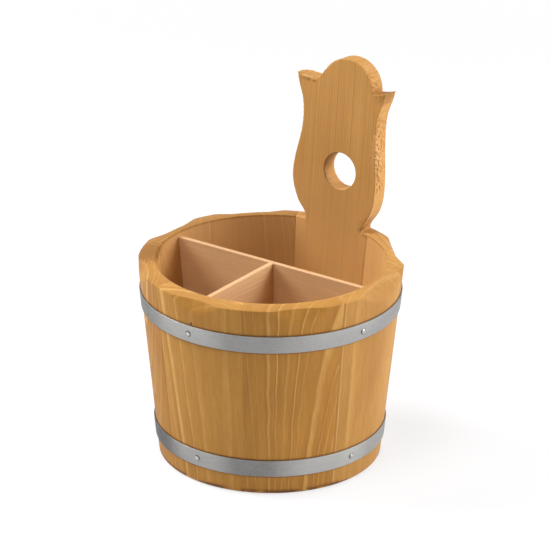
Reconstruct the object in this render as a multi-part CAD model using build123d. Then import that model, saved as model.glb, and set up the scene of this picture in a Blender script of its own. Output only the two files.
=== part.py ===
from build123d import *
import math
import os

# All sizes in millimetres. The tub stands on Z = 0 and the handle board is at its +Y side.
# Angles round the rim are counted from the front (-Y) towards +X.

# Tub: staves round a tapered wall
stave_count = 8
body_height = 140.0
rim_radius = 90.0
base_radius = 75.8
wall_thickness = 12.0
rim_fall = 1.0
rim_flat = 5.0
foot_chamfer = 1.5

# Groove near the foot that holds the bottom boards
chime_depth = 12.0
bottom_thickness = 9.0
croze_depth = 4.0
croze_play = 0.2
board_joint_play = 0.1

# Scoops pared out of the rim's outer edge with one drum, shallow in front and deeper behind:
# how far each bites into the rim and how far it drops down the wall, then where it is
scoop_drum_radius = 110.0
scoop_drum_length = 120.0
shallow_bite = 4.0
shallow_drop = 9.0
middling_bite = 6.8
middling_drop = 10.5
deep_bite = 9.6
deep_drop = 11.5
rim_scoops = [
    (0.0, shallow_bite, shallow_drop),
    (47.5, shallow_bite, shallow_drop),
    (97.0, deep_bite, deep_drop),
    (136.0, middling_bite, middling_drop),
    (-46.0, shallow_bite, shallow_drop),
    (-93.0, middling_bite, middling_drop),
    (-135.0, middling_bite, middling_drop),
]

# Handle board above the rim, heights measured up the board from the rim; each shift is towards +X
board_thickness = 13.0
board_root = 30.0
neck_width = 46.3
neck_height = 3.0
neck_shift = 0.75
neck_slope = 0.3
shoulder_width = 58.8
shoulder_height = 12.5
shoulder_slope = 0.55
bulge_width = 68.4
bulge_height = 31.5
bulge_shift = -1.0
waist_width = 60.2
waist_height = 71.5
waist_shift = 0.7
flare_width = 64.6
flare_drop = 13.3
flare_shift = 0.4
flare_slope = 0.36
horn_width = 72.2
horn_height = 101.8
horn_slope = 0.08
horn_tilt = 0.8
horn_hollow = 0.4
valley_width = 45.4
valley_drop = 1.5
valley_shift = 3.2
crown_radius = 21.0
crown_rise = 19.35
crown_shift = 4.9
crown_tilt = 2.9
hole_radius = 13.0
hole_height = 39.8
hole_shift = 3.5
board_arris = 0.8

# Dividing boards that stand on the bottom
divider_thickness = 3.5
divider_drop = 3.5
divider_end_play = 0.15
cross_divider_y = 1.5
housing_depth = 1.0
housing_play = 0.1

# Steel hoops with lapped and riveted ends
hoop_width = 12.0
hoop_thickness = 1.0
hoop_play = 0.05
upper_hoop_height = 114.3
lower_hoop_height = 20.0
lap_length = 26.0
upper_lap_angle = -140.0
lower_lap_angle = -126.0

# Cut nails with square shanks, and rivets, in the hoops
nail_angles = [-3.0, 79.0, 172.0, -92.0]
nail_shank_width = 1.5
nail_head_radius = 2.1
nail_head_height = 0.9
nail_length = 7.5
rivet_shank_radius = 1.2
rivet_head_radius = 2.6
rivet_top_radius = 1.7
rivet_head_height = 1.0
rivet_spacing = 11.0
shank_play = 0.05

full_turn = 360.0
stave_angle = full_turn / stave_count
taper = (rim_radius - base_radius) / body_height
wall_lean = math.degrees(math.atan(taper))
croze_top = chime_depth + bottom_thickness
flare_height = horn_height - flare_drop
valley_height = horn_height - valley_drop
crown_height = valley_height + crown_rise

# A block larger than the tub, for cutting everything on one side of a plane
large = 4 * rim_radius


def outer_radius(height):
    return base_radius + taper * height


def inner_radius(height):
    return outer_radius(height) - wall_thickness


def flat_inside(height):
    """Distance from the tub's axis to the flat inner face of the handle stave."""
    return inner_radius(height) * math.cos(math.radians(stave_angle / 2))


board_lean = math.degrees(math.atan(taper * math.cos(math.radians(stave_angle / 2))))
board_face = Plane(
    origin=(0, flat_inside(body_height), body_height),
    x_dir=(1, 0, 0),
    z_dir=Vector(0, -1, 0).rotate(Axis.X, -board_lean),
)

# The origin is below the middle of the whole outline, so the tub's axis lies a little in front of it
handle_reach = (
    flat_inside(body_height)
    + crown_height * math.sin(math.radians(board_lean))
    + board_thickness * math.cos(math.radians(board_lean))
)
tub_offset = (handle_reach - rim_radius) / 2


def turned(points, arc=full_turn, middle=0.0):
    """Revolves a radius-and-height outline about the tub's axis, centred on one angle."""
    outline = make_face(Plane.XZ * Polyline(points, close=True))
    return Rot(0, 0, middle - 90 - arc / 2) * revolve(outline, Axis.Z, arc)


def angle_between(angle, other):
    apart = abs(angle - other) % full_turn
    return min(apart, full_turn - apart)


def croze_notch():
    depth_top = inner_radius(croze_top) + croze_depth
    depth_low = inner_radius(chime_depth) + croze_depth
    return [
        (inner_radius(croze_top), croze_top),
        (depth_top, croze_top),
        (depth_low, chime_depth),
        (inner_radius(chime_depth), chime_depth),
    ]


def wall_outline():
    rim_edge = body_height - rim_fall
    return [
        (outer_radius(0) - foot_chamfer, 0),
        (outer_radius(foot_chamfer), foot_chamfer),
        (outer_radius(rim_edge), rim_edge),
        (inner_radius(body_height) + rim_flat, body_height),
        (inner_radius(body_height), body_height),
        *croze_notch(),
        (inner_radius(0), 0),
    ]


def scoop_cutter(angle, bite, drop):
    """A long drum whose nearest line runs from the bite at the rim down and out to the wall."""
    top = rim_radius - bite
    low = outer_radius(body_height - drop)
    slant = math.degrees(math.atan((low - top) / drop))
    drum = Cylinder(scoop_drum_radius, scoop_drum_length)
    near_line = Pos(0, -top, body_height) * Rot(-slant, 0, 0)
    return Rot(0, 0, angle) * near_line * Pos(0, -scoop_drum_radius, 0) * drum


def scooped(stave, middle):
    for angle, bite, drop in rim_scoops:
        if angle_between(angle, middle) < stave_angle:
            stave = stave - scoop_cutter(angle, bite, drop)
    return stave


def hoop_point(angle, height, out=0.0):
    """A place on the wall's outside whose Z axis points straight out of the wall."""
    at_wall = Pos(0, -outer_radius(height), height) * Rot(90 + wall_lean, 0, 0)
    return Rot(0, 0, angle) * at_wall * Pos(0, 0, out)


def nail_places():
    return [(a, h) for h in (upper_hoop_height, lower_hoop_height) for a in nail_angles]


def nail_hole(angle, height):
    width = nail_shank_width + 2 * shank_play
    return hoop_point(angle, height) * Box(width, width, 2 * nail_length)


def bored_for_nails(stave, middle):
    for angle, height in nail_places():
        if angle_between(angle, middle) < stave_angle / 2:
            stave = stave - nail_hole(angle, height)
    return stave


def wall_stave(middle):
    stave = turned(wall_outline(), stave_angle, middle)
    return bored_for_nails(scooped(stave, middle), middle)


def tilted(x, height, tilt):
    """A point of the board's top, turned a little about the middle of the valleys, as it was sawn."""
    turn = math.radians(tilt)
    rise = height - valley_height
    return (
        x * math.cos(turn) + rise * math.sin(turn),
        valley_height + rise * math.cos(turn) - x * math.sin(turn),
    )


def horn_tip(side):
    return tilted(side * horn_width / 2, horn_height, horn_tilt)


def valley(side):
    return tilted(valley_shift + side * valley_width / 2, valley_height, crown_tilt)


def neck(side):
    return neck_shift + side * neck_width / 2


def board_side(side):
    """One edge of the board: neck, shoulder, bulge, waist and flaring horn."""
    return Spline(
        (neck(side), neck_height),
        (side * shoulder_width / 2, shoulder_height),
        (bulge_shift + side * bulge_width / 2, bulge_height),
        (waist_shift + side * waist_width / 2, waist_height),
        (flare_shift + side * flare_width / 2, flare_height),
        horn_tip(side),
        tangents=[
            (side * neck_slope, 1),
            (side * shoulder_slope, 1),
            (0, 1),
            (0, 1),
            (side * flare_slope, 1),
            (side * horn_slope, 1),
        ],
    )


def horn_top(side):
    tip = horn_tip(side)
    low = valley(side)
    return ThreePointArc(tip, ((tip[0] + low[0]) / 2, (tip[1] + low[1]) / 2 - horn_hollow), low)


def crown_touch(side):
    """Where the straight flank that rises from a valley runs into the round of the crown."""
    centre = tilted(crown_shift, crown_height - crown_radius, crown_tilt)
    low = valley(side)
    away = math.hypot(low[0] - centre[0], low[1] - centre[1])
    towards = math.atan2(low[1] - centre[1], low[0] - centre[0])
    turn = towards + side * math.acos(min(1.0, crown_radius / away))
    return (centre[0] + crown_radius * math.cos(turn), centre[1] + crown_radius * math.sin(turn))


def board_outline():
    """The tulip outline of the handle board, from its root in the stave to the rounded crown."""
    edges = [
        Line((neck(-1), neck_height), (neck(-1), -board_root)),
        Line((neck(-1), -board_root), (neck(1), -board_root)),
        Line((neck(1), -board_root), (neck(1), neck_height)),
        board_side(1),
        horn_top(1),
        Line(valley(1), crown_touch(1)),
        ThreePointArc(crown_touch(1), tilted(crown_shift, crown_height, crown_tilt), crown_touch(-1)),
        Line(crown_touch(-1), valley(-1)),
        horn_top(-1),
        board_side(-1),
    ]
    return make_face(edges)


def handle_board():
    """The sawn board with its arrises eased, standing on the flat inner face of its stave."""
    board = extrude(board_outline(), -board_thickness)
    arrises = board.edges().group_by(Axis.Z)[-1] + board.edges().group_by(Axis.Z)[0]
    return board_face * chamfer(arrises, board_arris)


def behind_face(depth):
    """Everything on the axis side of a plane lying this deep in the handle board's front face."""
    return board_face * Pos(0, 0, large / 2 - depth) * Box(large, large, large)


def handle_stave():
    """The stave that runs on upwards as the handle, flat inside, with its stretch of the croze."""
    wall_faces = wall_outline()[:5]
    wedge = turned([(rim_radius / 2, 0), *wall_faces, (rim_radius / 2, body_height)], stave_angle, 180)
    croze_slab = extrude(Plane.XY.offset(chime_depth) * Rectangle(large, large), bottom_thickness)
    stave = wedge - behind_face(0) - (croze_slab & behind_face(croze_depth))
    stave = stave + handle_board()
    hole_axis = board_face * Pos(hole_shift, hole_height, 0)
    stave = stave - hole_axis * Cylinder(hole_radius, 4 * board_thickness)
    return bored_for_nails(stave, 180)


def bottom_boards():
    """Two boards edge to edge, with the round edge that fits the groove and a flat at the handle stave."""
    edge = croze_depth - croze_play
    disc = turned([
        (0, chime_depth),
        (inner_radius(chime_depth) + edge, chime_depth),
        (inner_radius(croze_top) + edge, croze_top),
        (0, croze_top),
    ])
    disc = disc & behind_face(edge)
    shift = (large + board_joint_play) / 2
    return [disc & Pos(side * shift, 0, 0) * Box(large, large, large) for side in (-1, 1)]


def tub_inside(play):
    top = body_height - divider_drop
    return turned([
        (0, croze_top),
        (inner_radius(croze_top) - play, croze_top),
        (inner_radius(top) - play, top),
        (0, top),
    ])


def cross_divider():
    inside = tub_inside(divider_end_play)
    board = inside & Pos(0, cross_divider_y, 0) * Box(large, divider_thickness, large)
    housing_y = cross_divider_y - divider_thickness / 2
    housing = Box(divider_thickness + 2 * housing_play, 2 * housing_depth, large)
    return board - Pos(0, housing_y, 0) * housing


def front_divider():
    inside = tub_inside(divider_end_play)
    back = cross_divider_y - divider_thickness / 2 + housing_depth - housing_play
    return inside & Pos(0, back - large / 2, 0) * Box(divider_thickness, large, large)


def band(height, layer, arc=full_turn, middle=0.0):
    """A strip of the hoop following the wall's taper; layer 0 lies on the wood and layer 1 on layer 0."""
    rise = hoop_width / 2 * math.cos(math.radians(wall_lean))
    low, high = height - rise, height + rise
    near = hoop_play + layer * hoop_thickness
    far = near + hoop_thickness
    return turned([
        (outer_radius(low) + near, low),
        (outer_radius(low) + far, low),
        (outer_radius(high) + far, high),
        (outer_radius(high) + near, high),
    ], arc, middle)


def rivet_places(height, lap_angle):
    step = math.degrees(rivet_spacing / 2 / outer_radius(height))
    return [hoop_point(lap_angle + side * step, height, hoop_play) for side in (-1, 1)]


def hoop(height, lap_angle):
    lap_arc = math.degrees(lap_length / outer_radius(height))
    strip = band(height, 0) + band(height, 1, lap_arc, lap_angle)
    for angle in nail_angles:
        strip = strip - nail_hole(angle, height)
    for place in rivet_places(height, lap_angle):
        strip = strip - place * Cylinder(rivet_shank_radius + shank_play, 4 * rivet_head_radius)
    return strip


def domed_head():
    """The nail's head, the cap of a ball standing on Z = 0."""
    ball = (nail_head_radius**2 + nail_head_height**2) / (2 * nail_head_height)
    cap = Pos(0, 0, nail_head_height - ball) * Sphere(ball)
    return cap & Pos(0, 0, ball) * Box(2 * ball, 2 * ball, 2 * ball)


def hoop_nails(height):
    nails = []
    for angle in nail_angles:
        seat = hoop_point(angle, height, hoop_play + hoop_thickness)
        shank = Pos(0, 0, -nail_length / 2) * Box(nail_shank_width, nail_shank_width, nail_length)
        nails.append(seat * (domed_head() + shank))
    return Compound(nails)


def hoop_rivets(height, lap_angle):
    flat_head = Cone(rivet_head_radius, rivet_top_radius, rivet_head_height)
    rivets = []
    for place in rivet_places(height, lap_angle):
        grip = 2 * hoop_thickness
        shank = Pos(0, 0, grip / 2) * Cylinder(rivet_shank_radius, grip)
        head = Pos(0, 0, grip + rivet_head_height / 2) * flat_head
        rivets.append(place * (shank + head))
    return Compound(rivets)


stave_names = {
    "front_stave": 0,
    "front_right_stave": 1,
    "right_stave": 2,
    "back_right_stave": 3,
    "back_left_stave": 5,
    "left_stave": 6,
    "front_left_stave": 7,
}

parts = {name: wall_stave(place * stave_angle) for name, place in stave_names.items()}
parts["handle_stave"] = handle_stave()
parts["bottom_board_left"], parts["bottom_board_right"] = bottom_boards()
parts["cross_divider"] = cross_divider()
parts["front_divider"] = front_divider()
parts["upper_hoop"] = hoop(upper_hoop_height, upper_lap_angle)
parts["lower_hoop"] = hoop(lower_hoop_height, lower_lap_angle)
parts["upper_hoop_nails"] = hoop_nails(upper_hoop_height)
parts["lower_hoop_nails"] = hoop_nails(lower_hoop_height)
parts["upper_hoop_rivets"] = hoop_rivets(upper_hoop_height, upper_lap_angle)
parts["lower_hoop_rivets"] = hoop_rivets(lower_hoop_height, lower_lap_angle)

os.makedirs("parts", exist_ok=True)
for name, shape in parts.items():
    export_step(Pos(0, -tub_offset, 0) * shape, f"parts/{name}.step")
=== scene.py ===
import math

import bmesh
import bpy
from mathutils import Matrix, Vector, noise


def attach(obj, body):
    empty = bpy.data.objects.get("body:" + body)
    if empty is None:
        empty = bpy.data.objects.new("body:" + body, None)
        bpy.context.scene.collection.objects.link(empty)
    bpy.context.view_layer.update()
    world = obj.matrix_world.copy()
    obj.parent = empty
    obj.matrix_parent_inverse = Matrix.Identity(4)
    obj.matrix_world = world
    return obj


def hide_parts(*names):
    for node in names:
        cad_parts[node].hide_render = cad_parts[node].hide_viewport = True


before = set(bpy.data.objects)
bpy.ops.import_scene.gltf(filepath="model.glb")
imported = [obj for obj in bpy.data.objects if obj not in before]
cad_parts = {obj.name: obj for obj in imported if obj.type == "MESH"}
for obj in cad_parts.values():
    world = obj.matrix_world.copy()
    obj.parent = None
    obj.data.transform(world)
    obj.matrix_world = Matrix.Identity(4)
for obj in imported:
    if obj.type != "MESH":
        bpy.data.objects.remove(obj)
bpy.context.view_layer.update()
MM = 0.001

# The view. The photograph looks down on the tub from the right of its front, from far off,
# so that upright edges stay nearly parallel. The origin lies under the middle of the whole
# object, so the tub's own axis stands a little in front of it.
tub_axis = Vector((0, -3.085 * MM, 0))
view_angle = 35.0
view_turn = math.radians(view_angle)
view_drop = math.radians(22.83)
view_roll = math.radians(0.406)
view_distance = 2.6772
view_side_step = 2.70 * MM
view_height = 127.49 * MM
picture_width = 550
focal_pixels = 3965.9


def compass(angle, out=1.0, height=0.0):
    """A point round the tub's axis; angles in degrees from the front towards the right."""
    turn = math.radians(angle)
    return tub_axis + Vector((out * math.sin(turn), -out * math.cos(turn), height))


def object_of(name, data):
    """A new object in the scene for this mesh, lamp or camera."""
    made = bpy.data.objects.new(name, data)
    bpy.context.scene.collection.objects.link(made)
    return made


camera_data = bpy.data.cameras.new("view")
camera_data.sensor_width = 36.0
camera_data.lens = focal_pixels * camera_data.sensor_width / picture_width
camera_data.clip_start = 0.1
camera = object_of("view", camera_data)
bpy.context.scene.camera = camera
right = Vector((math.cos(view_turn), math.sin(view_turn), 0))
back = compass(view_angle, math.cos(view_drop), math.sin(view_drop)) - tub_axis
up = back.cross(right)
look_at = tub_axis + right * view_side_step + Vector((0, 0, view_height))
level = Matrix((right, up, back)).transposed().to_4x4()
camera.matrix_world = (Matrix.Translation(look_at + back * view_distance)
                       @ level @ Matrix.Rotation(view_roll, 4, "Z"))
bpy.context.scene.view_settings.view_transform = "Standard"


class Sock:
    """One socket of a node tree. Arithmetic on it adds Math nodes; node() adds any other node."""

    def __init__(self, tree, socket=None):
        self.tree = tree
        self.socket = socket

    def node(self, kind, sockets=None, out=0, **settings):
        """A new node's output, after its settings and then the values or links of its sockets."""
        made = self.tree.nodes.new(kind)
        for name, value in settings.items():
            setattr(made, name, value)
        for name, value in (sockets or {}).items():
            if isinstance(value, Sock):
                self.tree.links.new(value.socket, made.inputs[name])
            else:
                made.inputs[name].default_value = value
        return Sock(self.tree, made.outputs[out])

    def also(self, out):
        """Another output of the same node."""
        return Sock(self.tree, self.socket.node.outputs[out])

    def math(self, operation, *others):
        return self.node("ShaderNodeMath", dict(enumerate((self, *others))), operation=operation)

    def vector(self, operation, *others, out=0):
        inputs = dict(enumerate((self, *others)))
        return self.node("ShaderNodeVectorMath", inputs, out, operation=operation)

    def scaled(self, share):
        return self.node("ShaderNodeVectorMath", {0: self, "Scale": share}, operation="SCALE")

    def xyz(self):
        """The three numbers of a vector."""
        first = self.node("ShaderNodeSeparateXYZ", {0: self})
        return first, first.also(1), first.also(2)

    def vector_of(self, x=0.0, y=0.0, z=0.0):
        return self.node("ShaderNodeCombineXYZ", {0: x, 1: y, 2: z})

    def __add__(self, other):
        return self.math("ADD", other)

    def __mul__(self, other):
        return self.math("MULTIPLY", other)

    def __sub__(self, other):
        return self.math("SUBTRACT", other)

    def __truediv__(self, other):
        return self.math("DIVIDE", other)

    def __rsub__(self, other):
        return self.node("ShaderNodeMath", {0: other, 1: self}, operation="SUBTRACT")

    __radd__ = __add__
    __rmul__ = __mul__

    def ramp(self, low, high, start=0.0, end=1.0):
        """Goes smoothly from start to end while this value goes from low to high."""
        return self.node(
            "ShaderNodeMapRange",
            {"Value": self, "From Min": low, "From Max": high, "To Min": start, "To Max": end},
            interpolation_type="SMOOTHSTEP")

    def mixed(self, first, second):
        """A colour between two, by this value."""
        return self.node("ShaderNodeMix", {0: self, 6: first, 7: second}, out=2, data_type="RGBA")


def colour(red, green, blue):
    """A colour as it is read off a screen, from 0 to 255, in the renderer's linear light."""
    return (*[((c / 255 + 0.055) / 1.055) ** 2.4 for c in (red, green, blue)], 1.0)


def finish_named(name):
    """A new material, a first socket of its node tree, and its main shader."""
    material = bpy.data.materials.new(name)
    material.use_nodes = True
    tree = material.node_tree
    return material, Sock(tree), tree.nodes["Principled BSDF"]


# The room. One pale floor goes over into the white all round, and four soft round lamps stand at
# the right, at the left, behind and above, the strongest at the left.
room_white = colour(255, 255, 255)
floor_reach = 6.0
floor_glow = 0.66
lit_reach = 0.3
white_reach = 1.1
room_level = 0.05
lamp_width = 0.8
lamp_aim = Vector((0, 0, 0.11))


def in_sight(net):
    """One for rays that show the room, straight on or by gloss or glass, and nought for its light."""
    seen = net.node("ShaderNodeLightPath", out="Is Camera Ray")
    return (seen + seen.also("Is Glossy Ray") + seen.also("Is Transmission Ray")).math("MINIMUM", 1.0)


floor_mesh = bpy.data.meshes.new("floor")
floor_mesh.from_pydata(
    [(x * floor_reach, y * floor_reach, 0) for x, y in ((-1, -1), (1, -1), (1, 1), (-1, 1))],
    [], [(0, 1, 2, 3)])
floor = object_of("floor", floor_mesh)
floor_finish, net, shader = finish_named("floor_paper")
shader.inputs["Base Color"].default_value = colour(246, 247, 250)
shader.inputs["Roughness"].default_value = 0.9
glow = net.node("ShaderNodeEmission", {"Color": room_white, "Strength": 1.0})
# farther off, where the lamps no longer reach, the floor turns as white as the room
paper = net.node("ShaderNodeTexCoord", out="Object")
away = paper.vector("LENGTH", out=1)
plain = in_sight(net) * away.ramp(lit_reach, white_reach, floor_glow, 1.0)
both = net.node("ShaderNodeMixShader", {0: plain, 1: Sock(net.tree, shader.outputs[0]), 2: glow})
net.tree.links.new(both.socket, net.tree.nodes["Material Output"].inputs["Surface"])
floor_mesh.materials.append(floor_finish)

world = bpy.data.worlds.new("room")
bpy.context.scene.world = world
world.use_nodes = True
net = Sock(world.node_tree)
background = world.node_tree.nodes["Background"]
strength = in_sight(net) * (1 - room_level) + room_level
net.tree.links.new(strength.socket, background.inputs["Strength"])
background.inputs["Color"].default_value = room_white


def softbox(name, angle, height, out, watts):
    """A round lamp at this angle, height and distance from the tub's axis, turned to the tub."""
    lamp_data = bpy.data.lights.new(name, "AREA")
    lamp_data.shape = "DISK"
    lamp_data.size = lamp_width
    lamp_data.energy = watts
    lamp = object_of(name, lamp_data)
    lamp.location = compass(angle, out, height)
    aim = lamp.location - lamp_aim
    lamp.rotation_euler = aim.to_track_quat("Z", "Y").to_euler()


softbox("right", 114.0, 0.5, 1.2, 13.5)
softbox("left", -70.0, 1.0, 1.1, 19.8)
softbox("behind", 155.0, 1.0, 1.1, 7.0)
softbox("above", 0.0, 1.6, 0.7, 11.6)

# Wall staves. Seven bevelled staves of softwood stained honey brown, planed round outside and
# hollow inside, tapering to the foot; a groove near the foot takes the bottom, and the rim's outer
# edge is pared into shallow scoops by hand. They are glued edge to edge and held by the hoops.
stave_turn = 45.0
body_height = 140.0 * MM
rim_radius = 90.0 * MM
base_radius = 75.8 * MM
wall_thickness = 12.0 * MM
rim_fall = 1.0 * MM
rim_flat = 5.0 * MM
foot_chamfer = 1.5 * MM
croze_low = 12.0 * MM
croze_top = 21.0 * MM
croze_depth = 4.0 * MM
drum_radius = 110.0 * MM
scoop_softness = 1.6 * MM
shallow_scoop = (4.0 * MM, 9.0 * MM)
middling_scoop = (6.8 * MM, 10.5 * MM)
deep_scoop = (9.6 * MM, 11.5 * MM)
# a scoop that would lie outside the wall, and so cuts nothing
no_scoop = (0.0, -30.0 * MM, -9.0 * MM)
taper = (rim_radius - base_radius) / body_height
scoop_row_start = 126.0 * MM
scoop_row_step = 0.8 * MM
arris = 0.7 * MM
joint_ease = 0.12 * MM
joint_strip = math.radians(0.25)
nearly_straight = math.radians(170)
least_cosine = 0.8


def outer_radius(height):
    return base_radius + taper * height


def inner_radius(height):
    return outer_radius(height) - wall_thickness


def corners_eased(points, radius):
    """The outline with each sharp corner turned into a short round one."""
    eased = []
    for i, here in enumerate(points):
        before = points[i - 1] - here
        after = points[(i + 1) % len(points)] - here
        if before.angle(after) > nearly_straight:
            eased.append(here)
            continue
        # neighbouring arrises never meet: each takes less than half of the edge between them
        reach = min(radius, before.length * 0.45, after.length * 0.45)
        first = here + before.normalized() * reach
        last = here + after.normalized() * reach
        for step in (0.0, 0.33, 0.67, 1.0):
            eased.append((first * (1 - step) + here * step) * (1 - step)
                         + (here * (1 - step) + last * step) * step)
    return eased


def wall_section():
    """The wall cut through from foot to rim: radius and height, round the outline once."""
    rim_edge = body_height - rim_fall
    rows = int((rim_edge - 2 * MM - scoop_row_start) / scoop_row_step) + 1
    outer_rows = [30 * MM, 60 * MM, 90 * MM, 112 * MM]
    outer_rows += [scoop_row_start + i * scoop_row_step for i in range(rows)]
    inner_rows = [118 * MM, 90 * MM, 60 * MM, 35 * MM]
    points = [(outer_radius(0) - foot_chamfer, 0), (outer_radius(foot_chamfer), foot_chamfer)]
    points += [(outer_radius(z), z) for z in outer_rows]
    points += [(outer_radius(rim_edge), rim_edge), (inner_radius(body_height) + rim_flat, body_height),
               (inner_radius(body_height), body_height)]
    points += [(inner_radius(z), z) for z in inner_rows]
    points += [(inner_radius(croze_top), croze_top), (inner_radius(croze_top) + croze_depth, croze_top),
               (inner_radius(croze_low) + croze_depth, croze_low), (inner_radius(croze_low), croze_low),
               (inner_radius(0), 0)]
    return corners_eased([Vector(p) for p in points], arris)


def stave_blank(name):
    """A stave laid out flat: X is the angle from its middle, Y the radius and Z the height."""
    section = wall_section()
    half = math.radians(stave_turn / 2)
    last_degree = int(stave_turn / 2) - 1
    columns = [-half, -half + joint_strip]
    columns += [math.radians(degree) for degree in range(-last_degree, last_degree + 1)]
    columns += [half - joint_strip, half]
    places = []
    for column, angle in enumerate(columns):
        sink = joint_ease if column in (0, len(columns) - 1) else 0.0
        for point in section:
            middle = (outer_radius(point.y) + inner_radius(point.y)) / 2
            lift = sink if point.y > body_height / 2 else -sink
            places.append((angle, point.x - math.copysign(sink, point.x - middle), point.y - lift))
    around = len(section)
    faces = [tuple(range(around)), tuple(reversed(range(len(places) - around, len(places))))]
    for column in range(len(columns) - 1):
        start = column * around
        for i in range(around):
            j = (i + 1) % around
            faces.append((start + j, start + i, start + around + i, start + around + j))
    mesh = bpy.data.meshes.new(name)
    mesh.from_pydata(places, [], faces)
    return object_of(name, mesh)


def tree_named(name, numbers, finish):
    """A Geometry Nodes tree, and its inputs by name: the shape, these numbers and a finish."""
    tree = bpy.data.node_groups.new(name, "GeometryNodeTree")
    kinds = {"Geometry": "Geometry", **dict.fromkeys(numbers, "Float"), finish: "Material"}
    for label, kind in kinds.items():
        tree.interface.new_socket(name=label, in_out="INPUT", socket_type="NodeSocket" + kind)
    tree.interface.new_socket(name="Geometry", in_out="OUTPUT", socket_type="NodeSocketGeometry")
    entry = tree.nodes.new("NodeGroupInput")
    return tree, {socket.name: Sock(tree, socket) for socket in entry.outputs if socket.name}


def end_tree(tree, shape, material):
    """Ends a tree in Realize Instances and Set Material."""
    whole = shape.node("GeometryNodeRealizeInstances", {"Geometry": shape})
    painted = shape.node("GeometryNodeSetMaterial", {"Geometry": whole, "Material": material})
    leave = tree.nodes.new("NodeGroupOutput")
    tree.links.new(painted.socket, leave.inputs["Geometry"])


def keep_result(piece, modifier):
    """Makes what the modifier shows the piece's own plain mesh, and takes the modifier off."""
    bpy.context.view_layer.update()
    graph = bpy.context.evaluated_depsgraph_get()
    result = bpy.data.meshes.new_from_object(piece.evaluated_get(graph))
    piece.modifiers.remove(modifier)
    piece.data = result


def run_tree(piece, tree, values):
    """Runs the tree on the piece with the values of its named inputs."""
    ids = {item.name: item.identifier for item in tree.interface.items_tree if item.in_out == "INPUT"}
    modifier = piece.modifiers.new(tree.name, "NODES")
    modifier.node_group = tree
    for label, value in values.items():
        modifier[ids[label]] = value
    keep_result(piece, modifier)


def shade(piece, crease):
    """Shades the piece smooth, apart from edges that turn by more degrees than this."""
    piece.data.shade_smooth()
    piece.data.set_sharp_from_angle(angle=math.radians(crease))


def scoop_reach(side, height, at, bite, drop):
    """How far out the wall may reach where one scoop is pared: the way from the tub's axis to the near
    side of a wide drum that stands outside the wall."""
    turn = side - at
    top = rim_radius - bite
    low = outer_radius(0) + (body_height - drop) * taper
    near = top + (low - top) / drop * (body_height - height)
    sine = turn.math("SINE")
    cosine = turn.math("COSINE")
    centre = near + drum_radius
    across = centre * cosine
    spread = (centre * sine).math("POWER", 2.0)
    inside = (drum_radius ** 2 - spread).math("MAXIMUM", 0.0)
    # a ray that points away from the drum is let go a metre farther, past the wall
    elsewhere = cosine.math("LESS_THAN", least_cosine)
    return across - inside.math("SQRT") + elsewhere


roll_tree, given = tree_named("rolled_and_pared", (
    "Middle", "First At", "First Bite", "First Drop", "Second At", "Second Bite", "Second Drop",
    "Flat Inside"), "Wood")
spot = given["Geometry"].node("GeometryNodeInputPosition")
angle, radius, height = spot.xyz()
side = angle + given["Middle"]
outer = height * taper + base_radius
# how far the flat inner face of the handle stave lies outside the round one
flat = (outer - wall_thickness) * math.cos(math.radians(stave_turn / 2)) / angle.math("COSINE")
to_flat = (flat - outer + wall_thickness) * given["Flat Inside"]
radius = radius + to_flat * ((outer - radius) / wall_thickness)
uncut = radius
for order in ("First", "Second"):
    reach = scoop_reach(side, height, *[given[f"{order} {part}"] for part in ("At", "Bite", "Drop")])
    radius = radius.math("SMOOTH_MIN", reach, scoop_softness)
pared = (uncut - radius).ramp(0.1 * MM, 0.9 * MM)
rolled = spot.vector_of(radius * side.math("SINE"), tub_axis.y - radius * side.math("COSINE"), height)
shaped = spot.node("GeometryNodeSetPosition", {"Geometry": given["Geometry"], "Position": rolled})
marked = spot.node("GeometryNodeStoreNamedAttribute", {
    "Geometry": shaped, "Name": "pared", "Value": pared})
welded = spot.node("GeometryNodeMergeByDistance", {"Geometry": marked, "Distance": 0.01 * MM})
end_tree(roll_tree, welded, given["Wood"])


def scoop_inputs(scoops):
    """The tree's inputs for two scoops, each an angle, a bite out of the rim and a drop below it."""
    inputs = {}
    for order, (at, bite, drop) in zip(("First", "Second"), scoops):
        inputs.update({order + " At": math.radians(at), order + " Bite": bite, order + " Drop": drop})
    return inputs


# Stained softwood, in depth: growth rings about a pith that lies off the board, so that each cut
# shows its own lines. The stain sank into the soft wide bands and left the hard narrow lines light.
deep_tone = colour(152, 99, 32)
body_tone = colour(184, 131, 53)
line_tone = colour(214, 166, 90)
pared_and_shade_tone = colour(144, 95, 36)
bare_tone = colour(226, 174, 112)
dark_mark_and_shade = colour(78, 44, 20)
dirt_and_shade_brown = colour(94, 50, 21)
ring_line = 0.62
inner_skin = base_radius - wall_thickness * 0.8
hoop_width = 12.0 * MM
hoop_heights = {"upper_hoop": 114.3 * MM, "lower_hoop": 20.0 * MM}


def surface(net, shader, tone, rough, bump):
    """Feeds a finish's tone, roughness and relief into its shader."""
    for name, value in (("Base Color", tone), ("Roughness", rough), ("Normal", bump)):
        net.tree.links.new(value.socket, shader.inputs[name])


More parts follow.
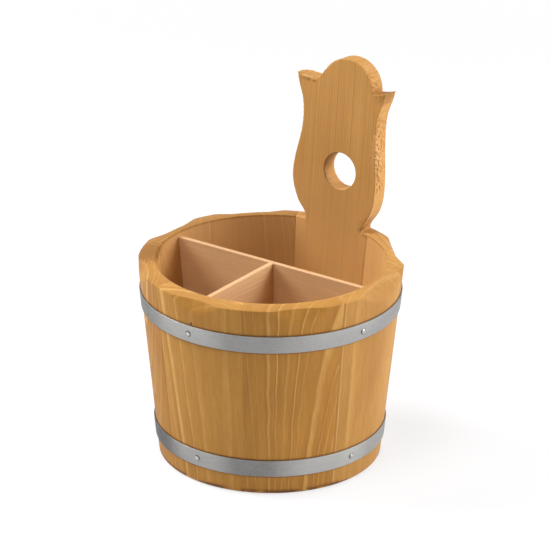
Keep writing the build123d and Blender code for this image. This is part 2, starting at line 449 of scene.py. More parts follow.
def stained_wood(
        name, middle, seed, pith, ring=5.0, fan=(0, 0), cone=0.0, sway=1.0, broad=0.5,
        tones=(deep_tone, body_tone, line_tone), contrast=1.0, worn=0.0, painted_light_to=(138.4, 139.4),
        marks=(), lying=False):
    """Wood for a board whose middle lies at this angle. Sizes are in millimetres. Its rings stand this
    far apart, round a pith that lies across and in front of it; their lines fan out upwards from one
    place across the board, by a share for each metre, and narrow by the cone; sway bends the lines and
    broad widens them. The inside up to a height, and the rim's top, are painted lighter by the worn
    share, as painted light. Each mark is a spot of another tone: its place, its reach along each axis,
    its share and its tone. The grain stands upright, or runs along the board where it is lying."""
    material, net, shader = finish_named(name)
    spot = net.node("ShaderNodeTexCoord", out="Object")
    height = spot.xyz()[2]
    local = net.node("ShaderNodeMapping", {"Vector": spot, "Rotation": (0, 0, -math.radians(middle))})
    if lying:
        local = net.node("ShaderNodeMapping", {"Vector": local, "Rotation": (0, math.pi / 2, 0)})
    across, depth, rise = local.xyz()

    def cloudy(scale, detail, offset=0.0, roughness=0.5):
        """Noise stretched by its own scale along each axis, different for each board."""
        moved = net.node("ShaderNodeMapping", {
            "Vector": local, "Location": (seed * 3.1 + offset, seed * 1.7, seed * 2.3), "Scale": scale})
        return net.node("ShaderNodeTexNoise", {
            "Vector": moved, "Scale": 1.0, "Detail": detail, "Roughness": roughness})

    def scattered(number, offset):
        """A chance value of its own for each growth ring."""
        return net.node(
            "ShaderNodeTexWhiteNoise", {"W": number + (seed * 11.0 + offset)}, noise_dimensions="1D")

    # the rings' distance from the pith wanders slowly, in curls and in small ripples
    slow = (cloudy((10, 10, 9), 1.0) - 0.5) * (6.0 * sway * MM)
    curl = (cloudy((26, 26, 22), 2.0, 5.0) - 0.5) * (3.2 * sway * MM)
    ripple = (cloudy((60, 60, 80), 1.0, 9.0) - 0.5) * (1.7 * sway * MM)
    spread = 1.0 - (rise - body_height / 2) * fan[1]
    run = (across - fan[0] * MM) * spread + (fan[0] - pith[0]) * MM + slow + curl + ripple
    fall = depth + rise * (0.0 if lying else taper) + pith[1] * MM + curl * 0.3
    rings = ((run * run + fall * fall).math("SQRT") - rise * cone) / (ring * MM)
    uneven = net.node("ShaderNodeTexNoise", {
        "W": rings * 0.5 + seed * 5.3, "Scale": 1.0, "Detail": 0.0}, noise_dimensions="1D")
    rings = rings + (uneven - 0.5) * 1.3
    phase = rings.math("FRACT")
    number = rings.math("FLOOR")
    # each ring's hard line comes up slowly and ends short, with a little shade after it
    width = scattered(number, 0.0).ramp(0.0, 1.0, 0.06, 0.06 + 0.12 * broad)
    line = phase.ramp(ring_line - width * 2.2, ring_line - width * 0.2)
    line = line * phase.ramp(ring_line, ring_line + width, 1.0, 0.0)
    strength = scattered(number, 3.7).ramp(0.0, 0.8, 0.35, 0.9)
    line = line * strength * cloudy((30, 30, 9), 1.0, 3.0).ramp(0.35, 0.62, 0.35, 1.0)
    after = phase.ramp(ring_line, ring_line + 0.1) * phase.ramp(ring_line + 0.1, 1.0, 1.0, 0.0)
    after = after * strength
    # the ground between the lines is cloudy, streaky, and a little different in each ring
    fibre = cloudy((1100, 1100, 24), 3.0, 1.0, 0.6)
    streak = cloudy((240, 240, 7), 2.0, 2.0)
    cloud = cloudy((26, 26, 7), 3.0, 7.0)
    band = scattered(number, 8.1)
    tone = cloud.ramp(0.3, 0.7) * 0.4 + band * 0.25 + streak.ramp(0.3, 0.7) * 0.25 - after * 0.3 + 0.1
    ground = (tone * contrast + (1.0 - contrast) * 0.5).mixed(tones[0], tones[1])
    lined = (line * 0.85 * contrast).mixed(ground, tones[2])
    fine = (fibre.ramp(0.35, 0.75) * 0.3).mixed(lined, tones[0])
    # painted light: the rim's top is painted lighter, as if lit from above, and so are the inner walls
    axis = Matrix.Rotation(-math.radians(middle), 3, "Z") @ tub_axis
    aside, along = across - axis.x, depth - axis.y
    reach = (aside * aside + along * along).math("SQRT") - height * taper
    inside = reach.ramp(inner_skin - 0.6 * MM, inner_skin + 0.6 * MM, 1.0, 0.0)
    inside = inside * height.ramp(painted_light_to[0] * MM, painted_light_to[1] * MM, 1.0, 0.0)
    rim_top_painted_light = height.ramp(body_height - 1.4 * MM, body_height - 0.6 * MM, 0.0, 0.25)
    fine = (rim_top_painted_light.math("MAXIMUM", inside) * worn).mixed(fine, bare_tone)
    # the knife left the scoops open-grained, so that they drank more of the stain
    # on the handle this attribute also carries the painted shade in the hole
    cut = net.node("ShaderNodeAttribute", out="Fac", attribute_name="pared")
    drunk = cut * cloudy((90, 90, 40), 3.0, 4.0).ramp(0.25, 0.7, 0.35, 0.85)
    pared = drunk.mixed(fine, pared_and_shade_tone)
    # dirt and wet have darkened patches of the foot's edge; a thin line of painted shade runs along
    # each hoop
    dirt_and_shade = height.ramp(1.6 * MM, 4.6 * MM, 0.9, 0.0) * cloudy((60, 60, 120), 3.0, 6.0).ramp(0.42, 0.54)
    hoops_beside = [] if lying else hoop_heights.values()
    for hoop_height in hoops_beside:
        beside = (height - hoop_height).math("ABSOLUTE") - hoop_width / 2
        dirt_and_shade = dirt_and_shade.math("MAXIMUM", beside.ramp(0.3 * MM, 1.8 * MM, 0.55, 0.0) * (1.0 - inside))
    dirt_and_shade_tone = dirt_and_shade.mixed(pared, dirt_and_shade_brown)
    frayed = (cloudy((650, 650, 450), 2.0, 2.5) - 0.5) * 1.2
    for place, sizes, share, mark_tone in marks:
        away = spot.vector("SUBTRACT", place).vector("DIVIDE", Vector(sizes) * MM)
        away = away.vector("LENGTH", out=1) + frayed
        dirt_and_shade_tone = away.ramp(0.3, 1.0, share, 0.0).mixed(dirt_and_shade_tone, mark_tone)
    rough = fibre.ramp(0.2, 0.8, 0.52, 0.66) - line * 0.06 + drunk * 0.1
    bump = net.node("ShaderNodeBump", {
        "Strength": 0.45, "Distance": 0.15 * MM, "Height": fibre * 0.8 + line * 0.4})
    surface(net, shader, dirt_and_shade_tone, rough, bump)
    shader.inputs["Specular IOR Level"].default_value = 0.28
    return material


# a nail was once driven and drawn again just above the upper hoop, in front
old_nail = (compass(-1.5, outer_radius(122 * MM), 122 * MM), (1.3, 1.3, 1.5), 1.0, dark_mark_and_shade)
# painted shade darkens the rim at the left
rim_painted_shade = (compass(-61, 84 * MM, 139 * MM), (25, 25, 8), 1.0, pared_and_shade_tone)
light_board = (colour(158, 105, 37), colour(192, 139, 60), colour(216, 168, 94))
# the left and back left staves get darker tones as painted shade
shade_darkened_board = (colour(136, 87, 30), colour(166, 115, 46), colour(198, 150, 80))
pale_board = (colour(154, 104, 42), colour(188, 138, 67), colour(216, 170, 100))
# each stave: its middle, the scoops in its rim, then how its board was cut from the log
wall_staves = {
    "front_stave": (
        0.0, [(0.0, *shallow_scoop)],
        dict(pith=(21, 141), ring=5.6, fan=(13, 4.0), tones=light_board, marks=[old_nail])),
    "front_right_stave": (
        45.0, [(47.5, *shallow_scoop)],
        dict(pith=(72, 102), ring=6.0, fan=(-12, 4.8))),
    "right_stave": (
        90.0, [(97.0, *deep_scoop)],
        dict(pith=(14, 170), ring=8.0, fan=(0, 1.5), tones=pale_board)),
    "back_right_stave": (
        135.0, [(136.0, *middling_scoop), (97.0, *deep_scoop)],
        dict(pith=(30, 124), ring=4.4, fan=(20, 2.0), tones=pale_board)),
    "back_left_stave": (
        225.0, [(-135.0, *middling_scoop)],
        dict(pith=(-70, 100), ring=4.2, fan=(0, -2.0), tones=shade_darkened_board)),
    "left_stave": (
        270.0, [(-93.0, *middling_scoop)],
        dict(pith=(25, 135), ring=4.8, cone=0.08, tones=shade_darkened_board, marks=[rim_painted_shade])),
    "front_left_stave": (
        315.0, [(-46.0, *shallow_scoop)],
        dict(pith=(6, 132), ring=4.6, cone=0.14, marks=[rim_painted_shade]))}
for seed, (node, (middle, scoops, cut)) in enumerate(wall_staves.items()):
    stave = stave_blank(node + "_wood")
    # the worn share paints the rim's top and the inner walls lighter, as painted light
    run_tree(stave, roll_tree, {
        "Middle": math.radians(middle), "Flat Inside": 0.0,
        "Wood": stained_wood(node + "_stain", middle, seed + 1.0, worn=0.55, **cut),
        **scoop_inputs(scoops + [no_scoop])})
    shade(stave, 24)
    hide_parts(node)
    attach(stave, "root")

# Handle stave. The eighth stave is flat inside and runs on upwards as the handle board, sawn to a
# tulip outline with two horns and a round crown, bored through for a peg. Its grain stands upright
# and straight; the saw left its edges rough, and a few fibres are torn out at the left horn.
board_thickness = 13.0 * MM
board_root = 30.0 * MM
neck = (0.75 * MM, 46.3 * MM, 3.0 * MM)
shoulder = (0.0, 58.8 * MM, 12.5 * MM)
bulge = (-1.0 * MM, 68.4 * MM, 31.5 * MM)
waist = (0.7 * MM, 60.2 * MM, 71.5 * MM)
flare = (0.4 * MM, 64.6 * MM, 88.5 * MM)
edge_slopes = (0.3, 0.55, 0.0, 0.0, 0.36)
horn_slope = 0.08
horn_width = 72.2 * MM
horn_height = 101.8 * MM
horn_tilt = math.radians(0.8)
horn_hollow = 0.4 * MM
valley_width = 45.4 * MM
valley_height = 100.3 * MM
valley_shift = 3.2 * MM
crown_radius = 21.0 * MM
crown_height = 119.6 * MM
crown_shift = 4.9 * MM
crown_tilt = math.radians(2.9)
hole_radius = 13.0 * MM
hole_height = 39.8 * MM
hole_shift = 3.5 * MM
board_arris = 0.8 * MM
hole_arris = 0.4 * MM
edge_step = 0.6 * MM
arris_rows = ((0.0, 1.0), (0.3, 0.3), (1.0, 0.0))
edge_rows = 20
bore_rows = 6
bore_steps = 96
horn_tear = (-30.0 * MM, -26.0 * MM, -21.5 * MM, -19.8 * MM)
tear_depth = 2.0 * MM
horn_wear = 0.9 * MM
sawn_above = 2.0 * MM
flank_pits = (24.0 * MM, 36.0 * MM, 76.0 * MM, 88.0 * MM)
crown_pits = (100.0 * MM, 103.0 * MM, 112.0 * MM, 116.0 * MM)
pit_depth = 1.1 * MM
saw_stroke = 0.07 * MM
drill_chatter = 0.08 * MM
bore_darkening = 1.6
flat_inside = inner_radius(body_height) * math.cos(math.radians(stave_turn / 2))
board_lean = math.atan(taper * math.cos(math.radians(stave_turn / 2)))
board_proud = 0.03 * MM
board_up = Vector((0, math.sin(board_lean), math.cos(board_lean)))
board_back = Vector((0, math.cos(board_lean), -math.sin(board_lean)))
board_foot = tub_axis + Vector((0, flat_inside, body_height)) - board_back * board_proud


def tilted(across, height, tilt):
    """A point of the board's top, turned a little about the middle of the valleys, as it was sawn."""
    rise = height - valley_height
    return Vector((across * math.cos(tilt) + rise * math.sin(tilt),
                   valley_height + rise * math.cos(tilt) - across * math.sin(tilt)))


def horn_tip(side):
    return tilted(side * horn_width / 2, horn_height, horn_tilt)


def valley(side):
    return tilted(valley_shift + side * valley_width / 2, valley_height, crown_tilt)


def bent(first, last, leave, arrive):
    """A smooth run between two points that leaves and arrives with given slopes."""
    chord = (last - first).length
    leave = Vector((leave, 1)).normalized() * chord
    arrive = Vector((arrive, 1)).normalized() * chord
    count = max(2, round(chord / edge_step))
    run = []
    for i in range(count):
        t = i / count
        run.append(first * (2 * t**3 - 3 * t**2 + 1) + leave * (t**3 - 2 * t**2 + t)
                   + last * (3 * t**2 - 2 * t**3) + arrive * (t**3 - t**2))
    return run


def arc(first, middle, last):
    """Points of the circle through three, up to but not with the last."""
    a, b, c = first, middle, last
    aa, bb, cc = [point.length_squared for point in (a, b, c)]
    d = 2 * (a.x * (b.y - c.y) + b.x * (c.y - a.y) + c.x * (a.y - b.y))
    centre = Vector(((aa * (b.y - c.y) + bb * (c.y - a.y) + cc * (a.y - b.y)) / d,
                     (aa * (c.x - b.x) + bb * (a.x - c.x) + cc * (b.x - a.x)) / d))
    radius = (first - centre).length
    begin, between, end = [math.atan2(*reversed(point - centre)) for point in (first, middle, last)]
    turn = (end - begin) % (2 * math.pi)
    if (between - begin) % (2 * math.pi) > turn:
        turn -= 2 * math.pi
    count = max(2, round(abs(turn) * radius / edge_step))
    turns = [begin + turn * i / count for i in range(count)]
    return [centre + Vector((math.cos(angle), math.sin(angle))) * radius for angle in turns]


def straight(first, last):
    """Points of the line between two, up to but not with the last."""
    count = max(1, round((last - first).length / edge_step))
    return [first.lerp(last, i / count) for i in range(count)]


def crown_touch(side):
    """Where the straight flank that rises from a valley runs into the round of the crown."""
    centre = tilted(crown_shift, crown_height - crown_radius, crown_tilt)
    away = valley(side) - centre
    turn = math.atan2(away.y, away.x) + side * math.acos(crown_radius / away.length)
    return centre + Vector((math.cos(turn), math.sin(turn))) * crown_radius


def half_outline(side):
    """One side of the board from its root up to the valley beside the crown."""
    points = [Vector((shift + side * width / 2, height)) for shift, width, height in
              (neck, shoulder, bulge, waist, flare)] + [horn_tip(side)]
    slopes = [side * slope for slope in (*edge_slopes, horn_slope)]
    foot = Vector((points[0].x, -board_root))
    run = straight(foot, points[0])
    for i in range(len(points) - 1):
        run += bent(points[i], points[i + 1], slopes[i], slopes[i + 1])
    hollow = (horn_tip(side) + valley(side)) / 2 - Vector((0, horn_hollow))
    return run + arc(horn_tip(side), hollow, valley(side))


def board_outline():
    """The whole board from its root up one side, over the crown and down the other."""
    crown = straight(valley(1), crown_touch(1))
    crown += arc(crown_touch(1), tilted(crown_shift, crown_height, crown_tilt), crown_touch(-1))
    crown += straight(crown_touch(-1), valley(-1)) + [valley(-1)]
    return half_outline(1) + crown + list(reversed(half_outline(-1)))


def smooth(low, high, value):
    """Goes smoothly from nought to one while the value goes from low to high."""
    t = min(max((value - low) / (high - low), 0.0), 1.0)
    return t * t * (3 - 2 * t)


def plateau(value, start, full, last, end):
    """Comes up smoothly from start to full, and goes down again from last to end."""
    return smooth(start, full, value) * smooth(end, last, value)


def sawn(place, along, depth):
    """How far the saw left this point of the edge from true: strokes across, and torn pits. The right
    edge has most pits near its front, along the flank and beside the crown."""
    strokes = noise.noise((along / (1.3 * MM), depth / (14 * MM), 2.0)) * saw_stroke
    rough = 0.25
    if place.x > 0:
        rough = max(plateau(place.y, *flank_pits), 0.6 * plateau(place.y, *crown_pits))
        rough *= 0.35 + 0.65 * smooth(9 * MM, 3 * MM, depth)
    pit = smooth(0.0, 0.4, noise.noise((along / (1.9 * MM), depth / (1.6 * MM), 7.0)))
    return strokes - pit * rough * pit_depth


def torn(place):
    """How far the front arris of the left horn is torn down, in jagged steps."""
    if place.y < valley_height - 2 * MM:
        return 0.0
    fine = noise.noise((place.x / (0.9 * MM), 3.0, 0.0))
    coarse = noise.noise((place.x / (3 * MM), 0, 5))
    return plateau(place.x, *horn_tear) * max(0.6 + 0.9 * fine + 0.4 * coarse, 0.1) * tear_depth


def rounded(place, depth):
    """How far the back of the left horn is worn down towards its corner."""
    worn = smooth(-32 * MM, -36 * MM, place.x) if place.y > horn_height - 6 * MM else 0.0
    return worn * smooth(7 * MM, board_thickness, depth) * horn_wear


def place_of(point, depth):
    """The place of a point of the board, this deep behind its front face."""
    return board_foot + Vector((point.x, 0, 0)) + board_up * point.y + board_back * depth


def rows_through(ease, middle_depths):
    """Depth and inset of each row of points, from the eased front arris through to the back one."""
    front = [(share * ease, inset * ease) for share, inset in arris_rows]
    back = [(board_thickness - depth, inset) for depth, inset in reversed(front)]
    return front + [(depth, 0.0) for depth in middle_depths] + back


def edge_rings(form):
    """The board's edge: its outline ring behind ring, as the saw and the tear left it."""
    outline = board_outline()
    count = len(outline)
    outward, lengths = [], [0.0]
    for i, here in enumerate(outline):
        after = outline[(i + 1) % count]
        run = after - outline[i - 1]
        outward.append(Vector((run.y, -run.x)).normalized())
        lengths.append(lengths[-1] + (after - here).length)
    body_depth = board_thickness - 2 * board_arris
    middle_depths = [board_arris + body_depth * i / edge_rows for i in range(1, edge_rows)]
    rings = []
    for depth, inset in rows_through(board_arris, middle_depths):
        ring = []
        for i, here in enumerate(outline):
            point = here - outward[i] * inset
            if here.y > sawn_above:
                share = 1.0 if board_arris <= depth <= board_thickness - board_arris else 0.6
                point = point + outward[i] * min(sawn(here, lengths[i], depth), 0.0) * share
            if depth < board_arris:
                point = point - Vector((0, torn(here))) * (1.0 if depth == 0 else 0.6)
            point = point - Vector((0, rounded(here, depth)))
            ring.append(form.verts.new(place_of(point, depth)))
        rings.append(ring)
    return rings


def bore_rings(form, darkened_layer):
    """The hole's wall. Its painted shade at the upper left, and a dark line along its front arris, go
    into the given layer.
    """
    middle_depths = [board_thickness * i / bore_rows for i in range(1, bore_rows)]
    bores = []
    for depth, wide in rows_through(hole_arris, middle_depths):
        bore = []
        for i in range(bore_steps):
            turn = 2 * math.pi * i / bore_steps
            chatter = noise.noise((math.cos(turn) * 4, math.sin(turn) * 4, depth / (5 * MM)))
            reach = hole_radius + wide + chatter * drill_chatter
            point = Vector((hole_shift + math.cos(turn) * reach, hole_height + math.sin(turn) * reach))
            bore.append(form.verts.new(place_of(point, depth)))
            # painted shade darkens the inside at the upper left, and a dark line runs along the front
            # arris
            if wide < hole_arris:
                upper_left = math.cos(turn - math.radians(135))
                gathered = smooth(0.35, 0.9, upper_left) * smooth(board_thickness, 6 * MM, depth)
                at_arris = smooth(-0.7, 0.3, upper_left) * smooth(1.5 * MM, 0.5 * MM, depth)
                bore[-1][darkened_layer] = bore_darkening * max(gathered, at_arris)
        bores.append(bore)
    return bores


def handle_board():
    """The board as one closed mesh: its edge, the hole's wall, and the two faces between them."""
    form = bmesh.new()
    darkened_layer = form.verts.layers.float.new("pared")
    rings = edge_rings(form)
    bores = bore_rings(form, darkened_layer)
    for family in (rings, bores):
        for upper, lower in zip(family, family[1:]):
            for i in range(len(upper)):
                j = (i + 1) % len(upper)
                form.faces.new((upper[i], upper[j], lower[j], lower[i]))
    for end in (0, -1):
        edges = []
        for ring in (rings[end], bores[end]):
            edges += [form.edges.get((ring[i], ring[(i + 1) % len(ring)])) for i in range(len(ring))]
        bmesh.ops.triangle_fill(form, use_beauty=True, use_dissolve=False, edges=edges)
    bmesh.ops.recalc_face_normals(form, faces=form.faces)
    if form.calc_volume(signed=True) < 0:
        bmesh.ops.reverse_faces(form, faces=form.faces)
    mesh = bpy.data.meshes.new("handle_board")
    form.to_mesh(mesh)
    form.free()
    return object_of("handle_board", mesh)


def on_board(across, height, depth=0.0):
    """A place on the board, across it, up it and behind its front face, in millimetres."""
    return place_of(Vector((across, height)) * MM, depth * MM)


handle_tones = (colour(174, 121, 51), colour(199, 147, 76), colour(142, 90, 37))
handle_marks = [
    # fibres torn out along the left horn, raw at the arris and dark in the pits beneath it
    (on_board(-28.5, 100.9), (7.5, 1.8, 1.5), 0.9, bare_tone),
    (on_board(-29.3, 99.2), (5.2, 1.5, 1.9), 0.3, dirt_and_shade_brown),
    (on_board(-26.2, 98.9), (1.5, 1.5, 2.0), 0.35, dirt_and_shade_brown),
    (on_board(-22.3, 98.5), (2.2, 1.5, 1.2), 0.95, pared_and_shade_tone),
    # the saw roughened the right edge
    (on_board(31.5, 55.0, 2.5), (5.0, 6.0, 26.0), 0.55, bare_tone),
    (on_board(31.5, 52.0, 2.0), (4.0, 5.0, 20.0), 0.2, dark_mark_and_shade),
    # painted shade darkens the right horn and the corner over the shoulder, with a darker line at the
    # neck
    (on_board(34.0, 101.5, 5.0), (11.0, 12.0, 11.0), 0.8, pared_and_shade_tone),
    (on_board(28.0, 4.0, 5.0), (8.0, 10.0, 11.0), 0.6, pared_and_shade_tone),
    (on_board(24.0, 2.5, 2.0), (3.5, 4.0, 3.0), 0.6, dark_mark_and_shade)]
# the handle's inner face is painted lighter up to a height, as painted light
handle_stain = stained_wood(
    "handle_stain", 180.0, 8.0, pith=(210, 60), ring=1.7, sway=0.3, broad=1.2, tones=handle_tones,
    contrast=0.9, worn=0.5, painted_light_to=(130, 210), marks=handle_marks)
handle = stave_blank("handle_stave_wood")
run_tree(handle, roll_tree, {
    "Middle": math.pi, "Flat Inside": 1.0, "Wood": handle_stain, **scoop_inputs([no_scoop, no_scoop])})
board = handle_board()
board.data.materials.append(handle_stain)
union = handle.modifiers.new("union", "BOOLEAN")
union.operation = "UNION"
union.solver = "MANIFOLD"
union.object = board
keep_result(handle, union)
bpy.data.objects.remove(board)
shade(handle, 18)
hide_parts("handle_stave")
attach(handle, "root")

# Bottom boards. Two plain boards side by side, their round edge pushed into the groove of the
# staves before the hoops were driven on; the dividers stand on them.
board_ease = 0.4 * MM
sharp_turn = 0.6


def eased_copy(node, ease):
    """A copy of a plain wooden piece with its triangles joined up and its arrises eased round."""
    form = bmesh.new()
    form.from_mesh(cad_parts[node].data)
    bmesh.ops.remove_doubles(form, verts=form.verts, dist=0.005 * MM)
    bmesh.ops.dissolve_limit(form, angle_limit=math.radians(1), verts=form.verts, edges=form.edges)
    paired = [edge for edge in form.edges if len(edge.link_faces) == 2]
    sharp = [edge for edge in paired if edge.calc_face_angle() > sharp_turn]
    bmesh.ops.bevel(form, geom=sharp, offset=ease, segments=2, profile=0.5, affect="EDGES")
    mesh = bpy.data.meshes.new(node + "_wood")
    form.to_mesh(mesh)
    form.free()
    return object_of(node + "_wood", mesh)


bottom_tones = (colour(160, 106, 46), colour(184, 130, 66), colour(208, 158, 98))
for node, seed in (("bottom_board_left", 9.0), ("bottom_board_right", 10.0)):
    piece = eased_copy(node, board_ease)
    piece.data.materials.append(stained_wood(
        node + "_stain", 90.0, seed, pith=(0, 200), tones=bottom_tones, lying=True))
    shade(piece, 24)
    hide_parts(node)
    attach(piece, "root")

# Hoops. Two strips of zinc-coated steel, bent round the taper of the wall, the end of each lying
# over its start behind the tub, where two rivets hold it; each strip is then driven down tight.
hoop_thickness = 1.0 * MM
hoop_play = 0.05 * MM
lap_angles = {"upper_hoop": -140.0, "lower_hoop": -126.0}
lap_length = 26.0 * MM
lap_rise = 9.0 * MM
strip_round = 0.25 * MM
strip_share = 0.999
stations = 480
wall_lean = math.atan(taper)

hoop_tree, given = tree_named("strip_round_the_wall", (
    "Height", "Radius", "Width", "Thickness", "Lap At", "Lap", "Rise"), "Metal")
line = given["Geometry"].node("GeometryNodeMeshLine", {"Count": stations})
index = line.node("GeometryNodeInputIndex")
share = index / (stations - 1.0)
radius = given["Radius"]
lap_turn = given["Lap"] / radius
turn = given["Lap At"] - lap_turn * 0.5 + share * (lap_turn + 2 * math.pi)
lap_start = given["Lap At"] - lap_turn * 0.5 + 2 * math.pi
climb = turn.ramp(lap_start - given["Rise"] / radius, lap_start) * given["Thickness"]
reach = radius + given["Thickness"] * 0.5 + climb
station = line.vector_of(
    reach * turn.math("SINE"), tub_axis.y - reach * turn.math("COSINE"), given["Height"])
path = line.node("GeometryNodeSetPosition", {"Geometry": line, "Position": station})
path = path.node("GeometryNodeMeshToCurve", {"Mesh": path})
path = path.node("GeometryNodeSetCurveNormal", {"Curve": path}, mode="Z_UP")
# a hair thinner than the step at the lap, so that the two layers never share a face
strip = path.node("GeometryNodeCurvePrimitiveQuadrilateral", {
    "Width": given["Thickness"] * strip_share, "Height": given["Width"] * math.cos(wall_lean)})
strip = strip.node("GeometryNodeFilletCurve", {
    "Curve": strip, "Radius": strip_round, "Count": 3, "Limit Radius": True}, mode="POLY")
swept = path.node("GeometryNodeCurveToMesh", {"Curve": path, "Profile Curve": strip, "Fill Caps": True})
# the strip leans outwards with the wall
side, ahead, height = swept.node("GeometryNodeInputPosition").xyz()
outwards = side.vector_of(side, ahead - tub_axis.y).vector("NORMALIZE")
shear = outwards.scaled((height - given["Height"]) * taper)
swept = swept.node("GeometryNodeSetPosition", {"Geometry": swept, "Offset": shear})
end_tree(hoop_tree, swept, given["Metal"])

zinc_dark = colour(84, 84, 85)
zinc_light = colour(188, 187, 184)
zinc, net, shader = finish_named("zinc_strip")
spot = net.node("ShaderNodeTexCoord", out="Object")
cloud = net.node("ShaderNodeTexNoise", {
    "Vector": spot, "Scale": 24.0, "Detail": 4.0, "Roughness": 0.6})
spangle = net.node("ShaderNodeTexVoronoi", {"Vector": spot, "Scale": 420.0}, out="Distance")
rolled = net.node("ShaderNodeTexNoise", {
    "Vector": spot.node("ShaderNodeMapping", {"Vector": spot, "Scale": (0.06, 0.06, 1.0)}),
    "Scale": 2600.0, "Detail": 2.0})
tone = cloud.ramp(0.2, 0.8) * 0.5 + rolled.ramp(0.35, 0.65) * 0.3 + spangle.ramp(0.0, 0.8) * 0.2
# painted reflection: the lower hoop is painted darker, and bright and dark bands of painted reflection
# lie round the tub
rise = spot.xyz()[2]
round_tub = spot.vector("SUBTRACT", tub_axis).vector("MULTIPLY", (1, 1, 0)).vector("NORMALIZE")


def towards(angle):
    """One on the side of the tub that faces this angle, and less the farther round it is."""
    return round_tub.vector("DOT_PRODUCT", compass(angle) - tub_axis, out=1)


low = rise.ramp(20 * MM, 60 * MM, 1.0, 0.0)
tone = tone * 0.25 + 0.4 - low * 0.21
tone = tone + towards(-3.0).ramp(0.93, 1.0) * (low * 0.09 + 0.28)
tone = tone + towards(64.0).ramp(0.86, 1.0) * (low * 0.27 + 0.16)
tone = tone + towards(105.0).ramp(0.8, 0.98) * (low * 0.27 - 0.07)
tone = tone - towards(-48.0).ramp(0.88, 0.98) * 0.22
rough = cloud.ramp(0.25, 0.75, 0.36, 0.52) + rolled * 0.08
bump = net.node("ShaderNodeBump", {"Strength": 0.25, "Distance": 0.05 * MM, "Height": rolled + cloud})
surface(net, shader, tone.mixed(zinc_dark, zinc_light), rough, bump)
shader.inputs["Metallic"].default_value = 0.4
shader.inputs["Specular IOR Level"].default_value = 0.15
shader.inputs["Specular Tint"].default_value = colour(170, 170, 170)

for node, hoop_height in hoop_heights.items():
    hoop = object_of(node + "_strip", bpy.data.meshes.new(node + "_strip"))
    run_tree(hoop, hoop_tree, {
        "Height": hoop_height, "Radius": outer_radius(hoop_height) + hoop_play, "Width": hoop_width,
        "Thickness": hoop_thickness, "Lap At": math.radians(lap_angles[node]), "Lap": lap_length,
        "Rise": lap_rise, "Metal": zinc})
    shade(hoop, 32)
    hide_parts(node)
    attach(hoop, "root")

# Nails and rivets. Four zinc-coated nails with low round heads pin each hoop to the staves, and
# two flat-headed rivets close each lap; the hammer left every head a little uneven.
nail_angles = (-3.0, 79.0, 172.0, -92.0)
nail = {"Head Radius": 2.1 * MM, "Head Height": 0.83 * MM, "Roundness": 2.0,
        "Shank": 1.5 * MM, "Shank Length": 7.5 * MM, "Uneven": 0.06}
rivet = {"Head Radius": 2.6 * MM, "Head Height": 1.0 * MM, "Roundness": 5.0,
         "Shank": 2.4 * MM, "Shank Length": 2.0 * MM, "Uneven": 0.0}
rivet_spacing = 11.0 * MM
rim_share = 0.22
dent_depth = 0.25 * MM
hammer_seed = 5

head_tree, given = tree_named("driven_heads", (
    "Head Radius", "Head Height", "Roundness", "Shank", "Shank Length", "Uneven"), "Metal")
disc = given["Geometry"].node("GeometryNodeMeshCylinder", {
    "Vertices": 28, "Side Segments": 1, "Fill Segments": 6, "Radius": given["Head Radius"],
    "Depth": given["Head Height"] * rim_share})
spot = disc.node("GeometryNodeInputPosition")
reach = spot.vector("MULTIPLY", (1.0, 1.0, 0.0)).vector("LENGTH", out=1) / given["Head Radius"]
crowned = (1.0 - reach.math("MINIMUM", 1.0).math("POWER", given["Roundness"])) * given["Head Height"]
top = spot.xyz()[2].math("GREATER_THAN", 0.0)
lift = given["Head Height"] * (rim_share / 2) + top * crowned * (1 - rim_share)
dent = spot.node("ShaderNodeTexNoise", {"Vector": spot, "Scale": 900.0, "Detail": 1.0})
lift = lift + top * (1.0 - reach) * (dent - 0.5) * dent_depth
disc = disc.node("GeometryNodeStoreNamedAttribute", {"Geometry": disc, "Name": "reach", "Value": reach})
disc = disc.node("GeometryNodeSetPosition", {"Geometry": disc, "Offset": spot.vector_of(z=lift)})
length = given["Shank Length"]
shank = spot.node("GeometryNodeMeshCube", {
    "Size": spot.vector_of(given["Shank"], given["Shank"], length)})
shank = spot.node("GeometryNodeTransform", {
    "Geometry": shank, "Translation": spot.vector_of(z=length * -0.5)})
fastener = disc.tree.nodes.new("GeometryNodeJoinGeometry")
for shape in (shank, disc):
    disc.tree.links.new(shape.socket, fastener.inputs[0])
fastener = Sock(disc.tree, fastener.outputs[0])
out_of_wall = spot.node("GeometryNodeInputNamedAttribute", {"Name": "out"}, data_type="FLOAT_VECTOR")
turned = spot.node("FunctionNodeAlignRotationToVector", {"Vector": out_of_wall}, axis="Z")
# each is turned about its shank by chance, and leans a little
spread = spot.vector_of(given["Uneven"], given["Uneven"], 3.0)
chance = spot.node("FunctionNodeRandomValue", {
    "Min": spread.scaled(-1.0), "Max": spread, "Seed": hammer_seed}, data_type="FLOAT_VECTOR")
turned = spot.node("FunctionNodeRotateRotation", {
    "Rotation": turned, "Rotate By": chance}, rotation_space="LOCAL")
placed = spot.node("GeometryNodeInstanceOnPoints", {
    "Points": given["Geometry"], "Instance": fastener, "Rotation": turned})
end_tree(head_tree, placed, given["Metal"])


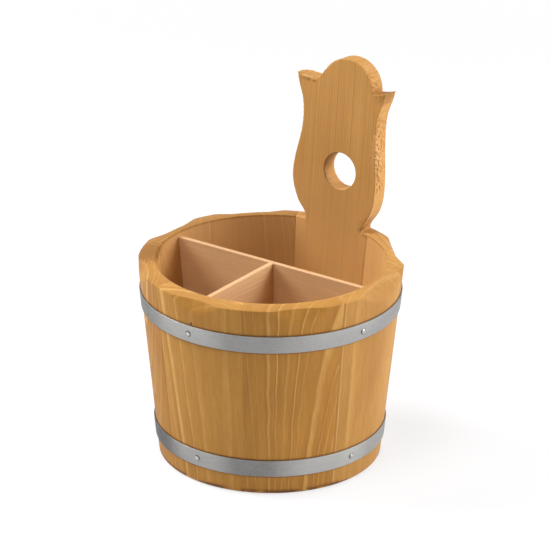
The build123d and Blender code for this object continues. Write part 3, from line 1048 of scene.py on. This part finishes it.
def seats(name, angles, height, layers):
    """Points on the hoop's outside, each with the direction straight out of the wall."""
    mesh = bpy.data.meshes.new(name)
    out = outer_radius(height) + hoop_play + layers * hoop_thickness
    mesh.from_pydata([compass(a, out, height) for a in angles], [], [])
    facing = mesh.attributes.new("out", "FLOAT_VECTOR", "POINT")
    for item, a in zip(facing.data, angles):
        item.vector = compass(a, math.cos(wall_lean), -math.sin(wall_lean)) - tub_axis
    return object_of(name, mesh)


bright, net, shader = finish_named("bright_zinc")
spot = net.node("ShaderNodeTexCoord", out="Object")
worn = net.node("ShaderNodeTexNoise", {"Vector": spot, "Scale": 700.0, "Detail": 2.0})
tone = worn.ramp(0.3, 0.7).mixed(colour(165, 163, 160), colour(215, 214, 210))
# painted shade darkens each head's rim, in the corner between the head and the strip
head_rim_shade = net.node("ShaderNodeAttribute", out="Fac", attribute_name="reach").ramp(0.55, 0.95) * 0.85
rough = worn.ramp(0.3, 0.7, 0.22, 0.34)
bump = net.node("ShaderNodeBump", {"Strength": 0.15, "Distance": 0.05 * MM, "Height": worn})
surface(net, shader, head_rim_shade.mixed(tone, colour(62, 56, 50)), rough, bump)
shader.inputs["Metallic"].default_value = 0.9

for node, hoop_height in hoop_heights.items():
    step = math.degrees(rivet_spacing / 2 / outer_radius(hoop_height))
    rivet_angles = (lap_angles[node] - step, lap_angles[node] + step)
    for kind, sizes, angles, layers in (
            ("nails", nail, nail_angles, 1), ("rivets", rivet, rivet_angles, 2)):
        piece = seats(f"{node}_{kind}_driven", angles, hoop_height, layers)
        run_tree(piece, head_tree, {**sizes, "Metal": bright})
        shade(piece, 30)
        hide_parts(f"{node}_{kind}")
        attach(piece, "root")

# Dividers. Two thin boards stand on the bottom: one across the tub, and one from its middle to the
# front, let into a shallow housing, so that the tub has one wide room behind and two in front.
divider_ease = 0.3 * MM
divider_tones = (colour(206, 161, 114), colour(224, 183, 137), colour(236, 199, 157))
for node, middle, seed in (("cross_divider", 0.0, 11.0), ("front_divider", 90.0, 12.0)):
    piece = eased_copy(node, divider_ease)
    piece.data.materials.append(stained_wood(
        node + "_stain", middle, seed, pith=(-60, 150), ring=3.2, sway=1.4, broad=1.0,
        tones=divider_tones, contrast=0.7, lying=True))
    shade(piece, 24)
    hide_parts(node)
    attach(piece, "root")
